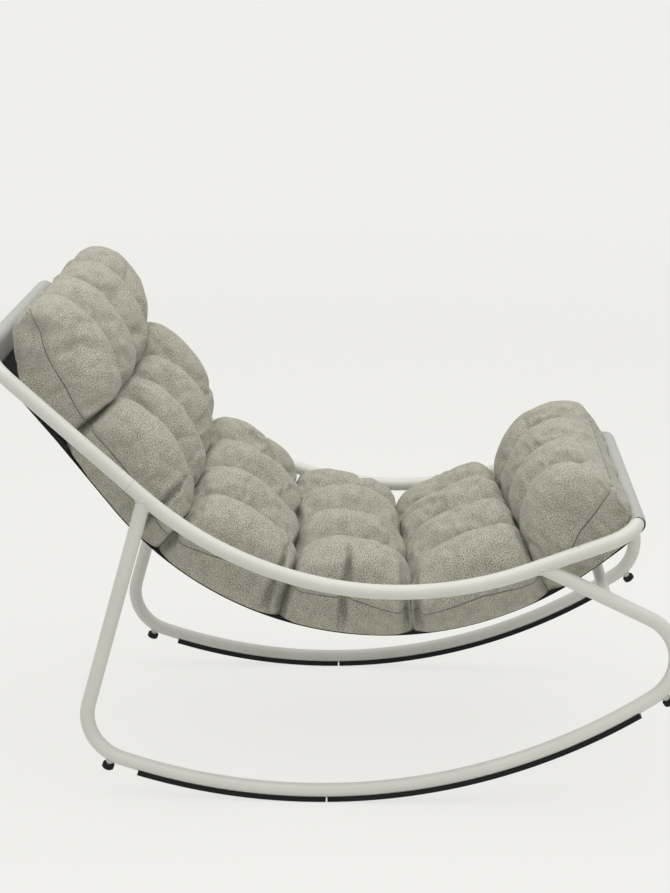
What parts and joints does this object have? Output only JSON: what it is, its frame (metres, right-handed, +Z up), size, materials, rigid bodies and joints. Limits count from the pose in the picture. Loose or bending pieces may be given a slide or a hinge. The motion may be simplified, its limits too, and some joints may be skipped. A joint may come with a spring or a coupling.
{
  "type": "rocking armchair",
  "caption": "Low rocking lounge chair with bent tube side frames, a stretched sling and a thick tufted cushion that runs from head roll to knee roll.",
  "frame": {"origin": "on the floor, midway between the two rockers, straight under the centre of the rocker curve, where the glide strips touch the floor", "axes": "+X forward to the sitter's knees, +Y to the sitter's left, +Z up"},
  "size_m": [1.1807, 0.5804, 0.8794],
  "materials": {
    "frame": "satin powder coat, warm off-white",
    "spigot": "bright zinc",
    "fastener": "zinc plated",
    "glide": "matt black extrusion",
    "stop_rubber": "matt black",
    "sling_cloth": "tight plain weave, light grey outside, black inside",
    "cushion_fabric": "mottled greige woven upholstery"
  },
  "bodies": {
    "root": {"right_side_rail": "frame", "left_side_rail": "frame", "right_rocker": "frame", "left_rocker": "frame", "head_bow": "frame", "knee_bow": "frame", "front_crossbar": "frame", "right_back_spigot": "spigot", "left_back_spigot": "spigot", "right_knee_spigot": "spigot", "left_knee_spigot": "spigot", "back_joint_bolts": "fastener", "knee_joint_bolts": "fastener", "back_weld_nuts": "fastener", "knee_weld_nuts": "fastener", "right_rear_strip": "glide", "right_front_strip": "glide", "left_rear_strip": "glide", "left_front_strip": "glide", "right_strip_screws": "fastener", "left_strip_screws": "fastener", "right_rear_stop_post": "frame", "right_front_stop_post": "frame", "left_rear_stop_post": "frame", "left_front_stop_post": "frame", "right_rear_stop_cap": "stop_rubber", "right_front_stop_cap": "stop_rubber", "left_rear_stop_cap": "stop_rubber", "left_front_stop_cap": "stop_rubber", "sling": "sling_cloth", "cushion": "cushion_fabric"}
  },
  "joints": []
}
